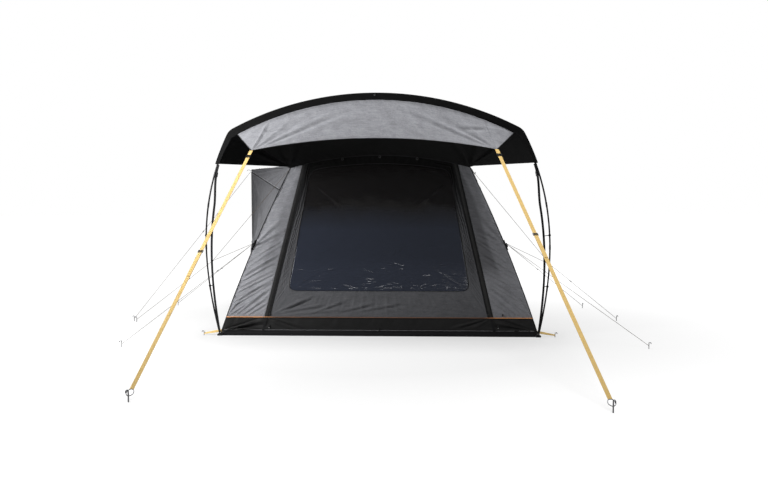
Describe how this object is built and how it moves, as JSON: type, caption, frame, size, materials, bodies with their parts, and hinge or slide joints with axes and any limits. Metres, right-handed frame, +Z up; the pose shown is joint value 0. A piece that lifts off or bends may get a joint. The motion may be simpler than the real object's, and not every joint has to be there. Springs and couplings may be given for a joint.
{
  "type": "campervan awning",
  "caption": "Pegged tent room for the side of a campervan, with a closed window door in its leaning front, a hooped canopy with a visor over it, storm straps and guys.",
  "frame": {"origin": "on the ground under the middle of the front panel, on the groundsheet's underside", "axes": "+X to the right across the front as seen from outside, +Y back towards the van, +Z up"},
  "size_m": [5.5753, 5.6359, 2.398],
  "materials": {
    "heather_cloth": "coated polyester with a fine light and dark fleck, matte",
    "grey_cloth": "coated polyester, mid grey, matte",
    "dark_cloth": "coated polyester, charcoal, matte",
    "black_cloth": "coated polyester, black, matte",
    "tinted_film": "flexible tinted window film, glossy, slightly crinkled",
    "orange_trim": "woven piping and tape, satin",
    "yellow_webbing": "woven webbing, satin",
    "black_webbing": "woven webbing, matte",
    "black_pole": "satin black coating",
    "black_plastic": "moulded, fine grain",
    "guy_line": "braided cord",
    "steel": "zinc plated",
    "beam_sleeve": "woven sleeve over an inflated tube, matte"
  },
  "bodies": {
    "root": {"canopy": "black_cloth", "canopy_band": "black_cloth", "canopy_wing_left": "black_cloth", "canopy_wing_right": "black_cloth", "corner_loop_left": "orange_trim", "corner_loop_right": "orange_trim", "door_panel": "dark_cloth", "door_window": "tinted_film", "front_beam": "beam_sleeve", "front_piping": "orange_trim", "front_skirt": "black_cloth", "front_wing_left": "heather_cloth", "front_wing_right": "heather_cloth", "ground_strap": "black_webbing", "groundsheet": "black_cloth", "guy_back_left": "guy_line", "guy_back_right": "guy_line", "guy_fore_left": "guy_line", "guy_fore_right": "guy_line", "guy_patch_left": "black_webbing", "guy_patch_right": "black_webbing", "guy_rear_left": "guy_line", "guy_yoke_left": "guy_line", "guy_yoke_right": "guy_line", "pole_arch": "black_pole", "pole_foot_left": "black_plastic", "pole_foot_right": "black_plastic", "pole_leg_left": "black_pole", "pole_leg_right": "black_pole", "rear_beam": "beam_sleeve", "roof": "grey_cloth", "side_gusset_left": "grey_cloth", "side_gusset_right": "grey_cloth", "side_skirt_left": "black_cloth", "side_skirt_right": "black_cloth", "side_wall_left": "grey_cloth", "side_wall_right": "grey_cloth", "storm_peg_left": "steel", "storm_peg_right": "steel", "storm_strap_left": "yellow_webbing", "storm_strap_right": "yellow_webbing", "tension_webbing_left": "black_webbing", "tension_webbing_right": "black_webbing", "van_beading": "black_plastic", "visor": "heather_cloth", "zip_strip_left": "black_cloth", "zip_strip_right": "black_cloth"}
  },
  "joints": []
}
